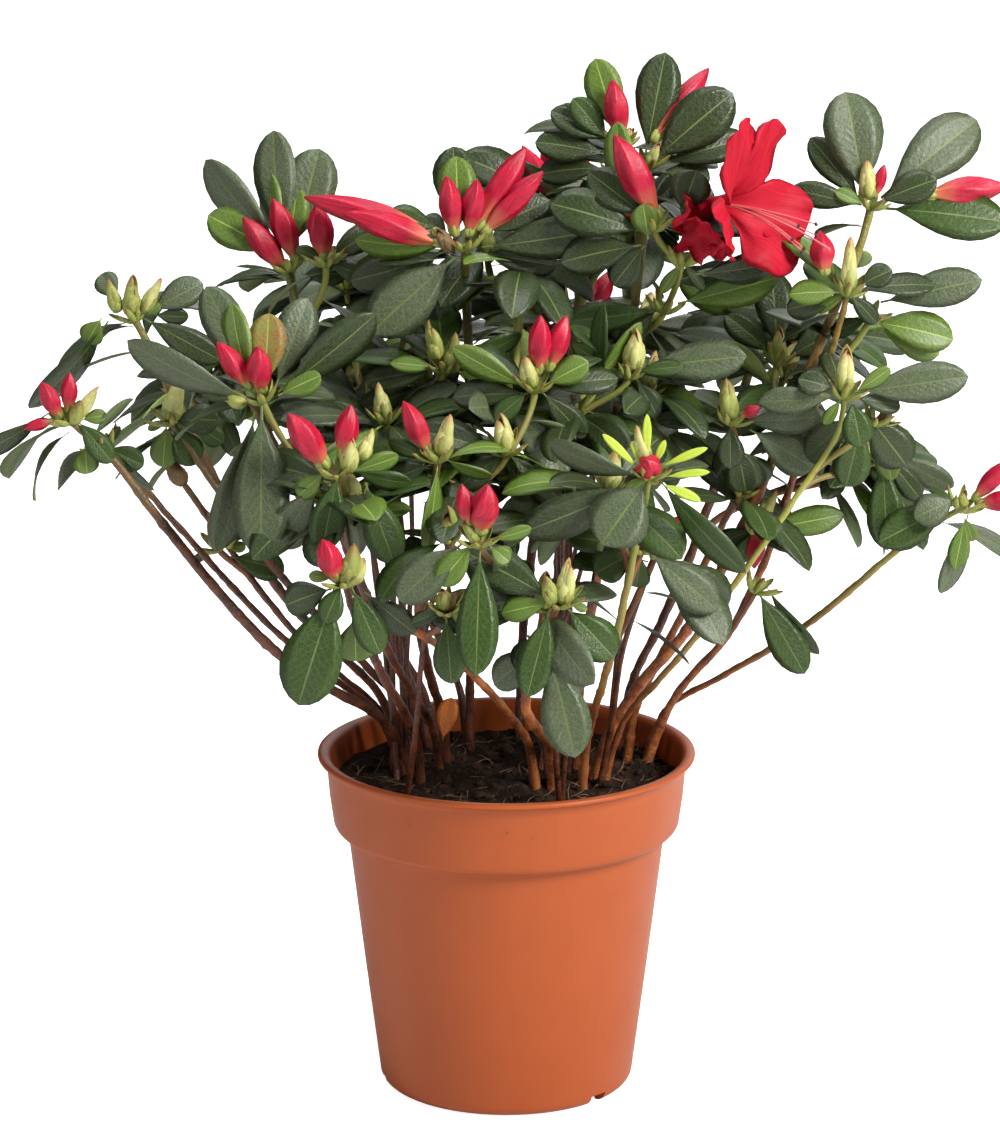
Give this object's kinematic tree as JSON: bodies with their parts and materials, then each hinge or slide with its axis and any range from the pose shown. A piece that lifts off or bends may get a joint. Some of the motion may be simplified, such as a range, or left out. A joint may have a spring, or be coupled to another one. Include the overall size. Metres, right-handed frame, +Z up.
{
  "type": "potted azalea shrub",
  "caption": "Many-stemmed evergreen azalea with red buds and an open bloom, standing in a round tapered plastic nursery pot.",
  "frame": {"origin": "centre of the flat underside of the pot", "axes": "+Z up; -Y is the plant's front, with the open bloom at its upper right; +X to the right seen from the front"},
  "size_m": [0.3143, 0.2331, 0.3279],
  "materials": {
    "pot_plastic": "satin moulded terracotta-coloured plastic",
    "compost": "moist dark peat with tan fibres and crumbs",
    "bark": "thin red-brown bark, greener towards the tips",
    "leaf": "leathery evergreen leaves, satin above and paler below",
    "petal": "soft scarlet petals and crimson buds"
  },
  "bodies": {
    "root": {"pot": "pot_plastic", "soil": "compost", "stem_west_low": "bark", "stem_west_twin": "bark", "stem_brown_bud": "bark", "stem_west_crest": "bark", "stem_west_mid": "bark", "stem_northwest": "bark", "stem_left_front": "bark", "stem_left_mid": "bark", "stem_left_thick": "bark", "stem_diagonal": "bark", "stem_centre_thick": "bark", "stem_north": "bark", "stem_centre_bright": "bark", "stem_crown": "bark", "stem_east_thick": "bark", "stem_east_thin": "bark", "stem_right_up": "bark", "stem_right_mid": "bark", "stem_far_east": "bark", "stem_back_mid": "bark", "stem_back_hollow": "bark", "stem_back_west": "bark", "stem_back_crown": "bark", "stem_back_east": "bark", "leaves_west_crest": "leaf", "leaves_west_low": "leaf", "leaves_west_mid": "leaf", "leaves_northwest": "leaf", "leaves_west_bud": "leaf", "leaves_left_bud": "leaf", "leaves_front_left": "leaf", "leaves_north_crest": "leaf", "leaves_crown": "leaf", "leaves_northeast": "leaf", "leaves_east_bud": "leaf", "leaves_east_mid": "leaf", "leaves_east_inner": "leaf", "leaves_right_bud": "leaf", "leaves_north_inner": "leaf", "leaves_twin_bud": "leaf", "leaves_pale_bud": "leaf", "leaves_centre_bud": "leaf", "leaves_front_mid": "leaf", "leaves_front_centre": "leaf", "leaves_lime_shoot": "leaf", "leaves_right_low": "leaf", "leaves_right_small": "leaf", "leaves_east_tip": "leaf", "leaves_back_west": "leaf", "leaves_back_northwest": "leaf", "leaves_back_crown": "leaf", "leaves_back_east": "leaf", "leaves_back_corner": "leaf", "leaves_back_low": "leaf", "leaves_back_hollow": "leaf", "leaves_heart_west": "leaf", "leaves_heart_east": "leaf", "bloom_open": "petal"}
  },
  "joints": []
}
